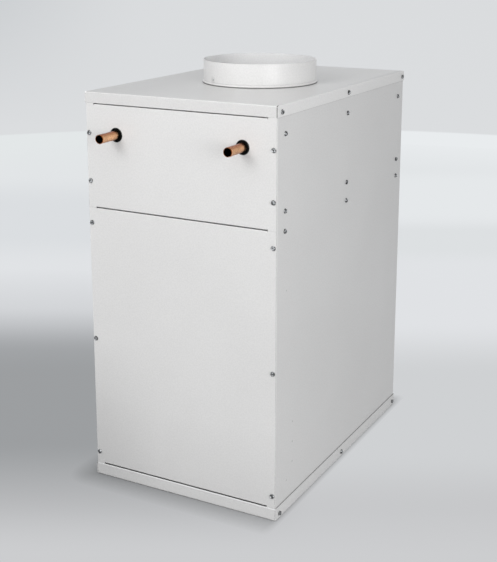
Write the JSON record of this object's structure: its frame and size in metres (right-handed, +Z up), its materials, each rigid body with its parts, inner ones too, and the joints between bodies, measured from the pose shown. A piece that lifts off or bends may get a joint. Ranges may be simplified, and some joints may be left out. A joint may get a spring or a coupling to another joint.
{
  "type": "air handler",
  "caption": "Upright sheet-metal air handler with a round supply collar on top, two copper water stubs at the front and a blower inside.",
  "frame": {"origin": "on the floor, at the centre of the footprint of the whole object, pipe stubs and screw heads included", "axes": "+Z up, +X to the right of someone who faces the front panels, -Y out of the front"},
  "size_m": [0.4566, 0.7372, 0.915],
  "materials": {
    "painted_steel": "satin fine-texture powder coat",
    "collar_steel": "satin white",
    "zinc_screw": "bright zinc plate",
    "foil_liner": "foil facing over glass fibre",
    "black_rubber": "matte",
    "copper": "drawn copper, slightly dull",
    "brass": "turned",
    "fin_aluminium": "mill finish",
    "galvanised_steel": "galvanised, fine spangle",
    "wheel_steel": "galvanised",
    "shaft_steel": "ground",
    "motor_shell": "dark paint",
    "circuit_board": "solder mask",
    "transformer_iron": "varnished laminations",
    "relay_plastic": "moulded",
    "capacitor_can": "drawn",
    "terminal_plastic": "moulded",
    "plug_plastic": "moulded"
  },
  "bodies": {
    "cabinet": {"base_tray": "painted_steel", "left_side_panel": "painted_steel", "right_side_panel": "painted_steel", "back_panel": "painted_steel", "top_cap": "painted_steel", "upper_front_panel": "painted_steel", "lower_front_panel": "painted_steel", "supply_collar": "collar_steel", "collar_rivets": "zinc_screw", "left_liner": "foil_liner", "right_liner": "foil_liner", "back_liner": "foil_liner", "cap_liner": "foil_liner", "front_liner": "foil_liner", "pipe_grommets": "black_rubber", "inlet_header": "copper", "outlet_header": "copper", "air_vent": "brass", "coil_tubes": "copper", "coil_fins": "fin_aluminium", "coil_front_plate": "galvanised_steel", "coil_back_plate": "galvanised_steel", "left_coil_rail": "galvanised_steel", "right_coil_rail": "galvanised_steel", "front_coil_baffle": "galvanised_steel", "back_coil_baffle": "galvanised_steel", "blower_deck": "galvanised_steel", "scroll_wrap": "galvanised_steel", "left_housing_side": "galvanised_steel", "right_housing_side": "galvanised_steel", "left_inlet_ring": "galvanised_steel", "right_inlet_ring": "galvanised_steel", "cutoff_plate": "galvanised_steel", "motor_case": "motor_shell", "motor_band": "galvanised_steel", "motor_arm_bolts": "zinc_screw", "motor_cable": "black_rubber", "cable_bushing": "black_rubber", "control_box": "galvanised_steel", "control_board": "circuit_board", "transformer": "transformer_iron", "blower_relay": "relay_plastic", "run_capacitor": "capacitor_can", "capacitor_strap": "galvanised_steel", "terminal_block": "terminal_plastic", "control_cover": "galvanised_steel", "panel_rivets": "painted_steel", "hole_plugs": "plug_plastic", "front_screws": "zinc_screw", "side_screws": "zinc_screw", "cap_and_tray_screws": "zinc_screw", "back_screws": "zinc_screw", "deck_screws": "zinc_screw"},
    "blower": {"blower_wheel": "wheel_steel", "wheel_hub": "wheel_steel", "hub_set_screw": "shaft_steel", "motor_shaft": "shaft_steel"}
  },
  "joints": [
    {"name": "blower_spin", "type": "hinge", "parent": "cabinet", "child": "blower", "pos_m": [0, -0.00465, 0.377], "axis": [1, 0, 0], "continuous": true}
  ]
}
